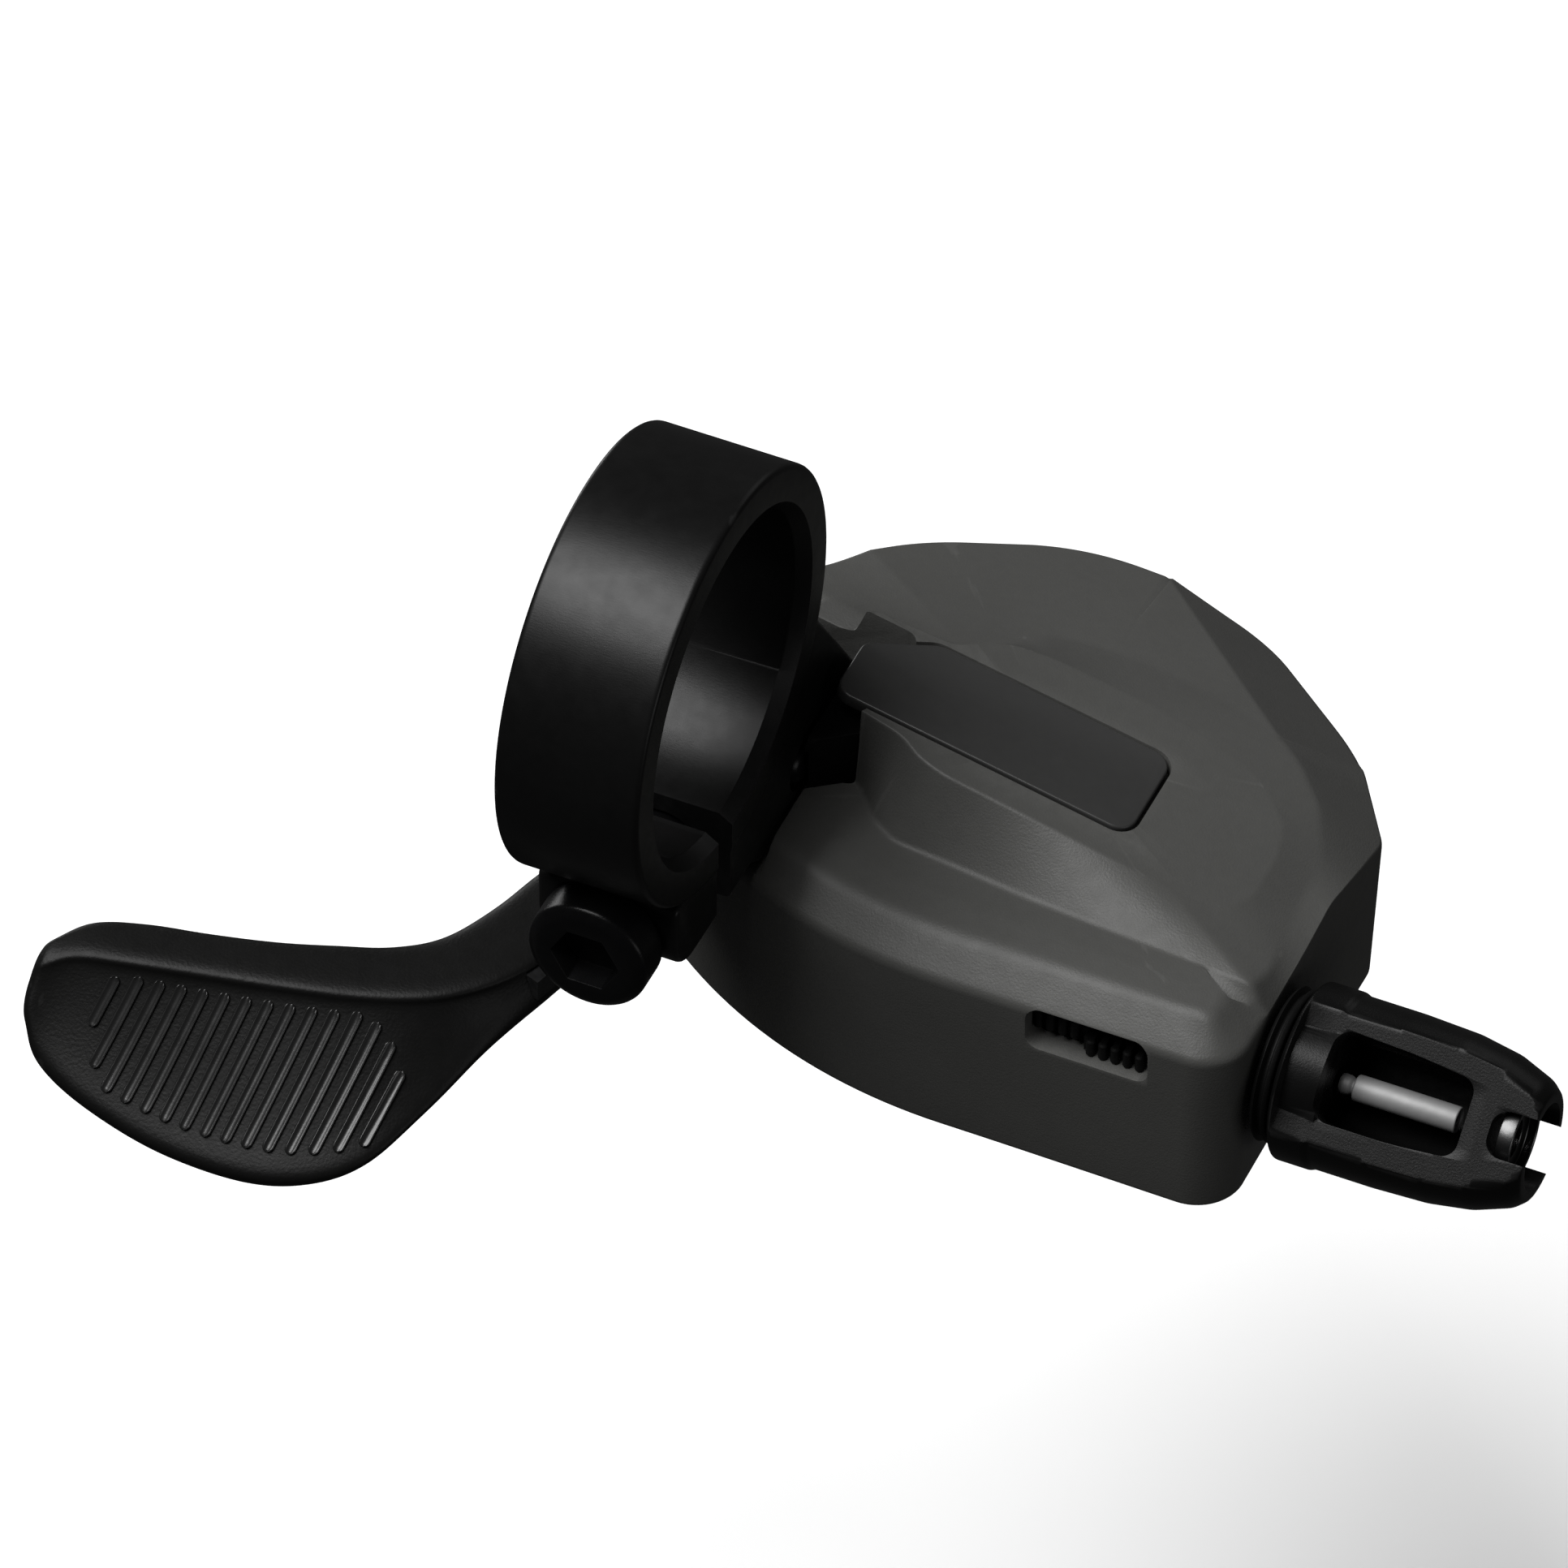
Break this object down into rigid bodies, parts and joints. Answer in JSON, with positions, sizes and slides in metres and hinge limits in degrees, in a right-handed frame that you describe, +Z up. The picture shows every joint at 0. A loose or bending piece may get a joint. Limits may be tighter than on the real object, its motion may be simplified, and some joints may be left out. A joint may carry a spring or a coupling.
{
  "type": "thumb shifter",
  "caption": "Left-hand bicycle thumb shifter with a handlebar band clamp, a faceted grey housing, a hooked ribbed thumb lever and a barrel cable adjuster.",
  "frame": {"origin": "centre of the handlebar clamp bore", "axes": "+X along the handlebar towards the cable adjuster, +Y forwards away from the rider, +Z up, square to the housing's base"},
  "size_m": [0.0952, 0.0519, 0.0573],
  "materials": {
    "anodised_black": "satin anodised",
    "dark_steel": "black coated steel",
    "cover_grey": "fine grained satin",
    "plate_black": "smooth satin",
    "rubber_black": "matt",
    "moulded_black": "fine grained matt",
    "adjuster_black": "semi-gloss moulded",
    "natural_plastic": "moulded",
    "steel": "zinc plated"
  },
  "bodies": {
    "frame": {"clamp_band": "anodised_black", "clamp_bolt": "dark_steel", "clamp_nut": "dark_steel", "clamp_bracket": "anodised_black", "bracket_screw_1": "dark_steel", "bracket_screw_2": "dark_steel", "upper_cover": "cover_grey", "inlay_plate": "plate_black", "window_grommet": "rubber_black", "lower_cover": "moulded_black", "base_plate": "steel", "cover_screw_1": "steel", "cover_screw_2": "steel", "cover_screw_3": "steel", "cover_screw_4": "steel", "main_axle": "steel", "axle_nut": "steel", "axle_washer": "steel", "hold_pin": "steel", "hold_spring": "steel", "drum_spring": "steel", "lever_spring": "steel", "adjuster_sleeve": "dark_steel", "adjuster_boot": "rubber_black", "cable_sleeve": "steel"},
    "lever": {"lever_plate": "dark_steel", "thumb_lever": "moulded_black", "lever_rivet_1": "steel", "lever_rivet_2": "steel", "drive_hub": "steel", "drive_plate": "steel", "drive_pin": "steel", "drive_spring": "steel"},
    "drive_pawl": {"drive_pawl": "steel"},
    "hold_pawl": {"hold_pawl": "steel"},
    "drum": {"cable_drum": "natural_plastic", "ratchet_wheel": "steel"},
    "casing_seat": {"casing_seat": "steel"},
    "barrel": {"barrel_adjuster": "adjuster_black"}
  },
  "joints": [
    {"name": "lever_push", "type": "hinge", "parent": "frame", "child": "lever", "pos_m": [0.0165, 0.0155, -0.035], "axis": [0, 0, -1], "range_deg": [0, 38], "stiffness_Nm_per_rad": 0.15, "springref_deg": -11.46, "deforming": ["lever_spring"]},
    {"name": "drum_turn", "type": "hinge", "parent": "frame", "child": "drum", "pos_m": [0.0165, 0.0155, -0.0252], "axis": [0, 0, -1], "range_deg": [0, 42], "stiffness_Nm_per_rad": 0.02, "deforming": ["drum_spring"]},
    {"name": "drive_pawl_lift", "type": "hinge", "parent": "lever", "child": "drive_pawl", "pos_m": [0.01105, 0.02574, -0.0271], "axis": [0, 0, 1], "range_deg": [0, 14], "stiffness_Nm_per_rad": 0.002, "deforming": ["drive_spring"]},
    {"name": "hold_pawl_lift", "type": "hinge", "parent": "frame", "child": "hold_pawl", "pos_m": [0.00506, 0.01222, -0.0271], "axis": [0, 0, -1], "range_deg": [0, 14], "stiffness_Nm_per_rad": 0.002, "deforming": ["hold_spring"]},
    {"name": "adjuster_travel", "type": "slide", "parent": "frame", "child": "casing_seat", "axis": [1, 0, 0], "range_m": [0, 0.0024]},
    {"name": "adjuster_spin", "type": "hinge", "parent": "casing_seat", "child": "barrel", "pos_m": [0.048, 0.0075, -0.0252], "axis": [1, 0, 0], "range_deg": [0, 1080]}
  ],
  "couplings": [
    {"joint": "adjuster_spin", "follows": "adjuster_travel", "rad_per_m": 7853.9}
  ]
}
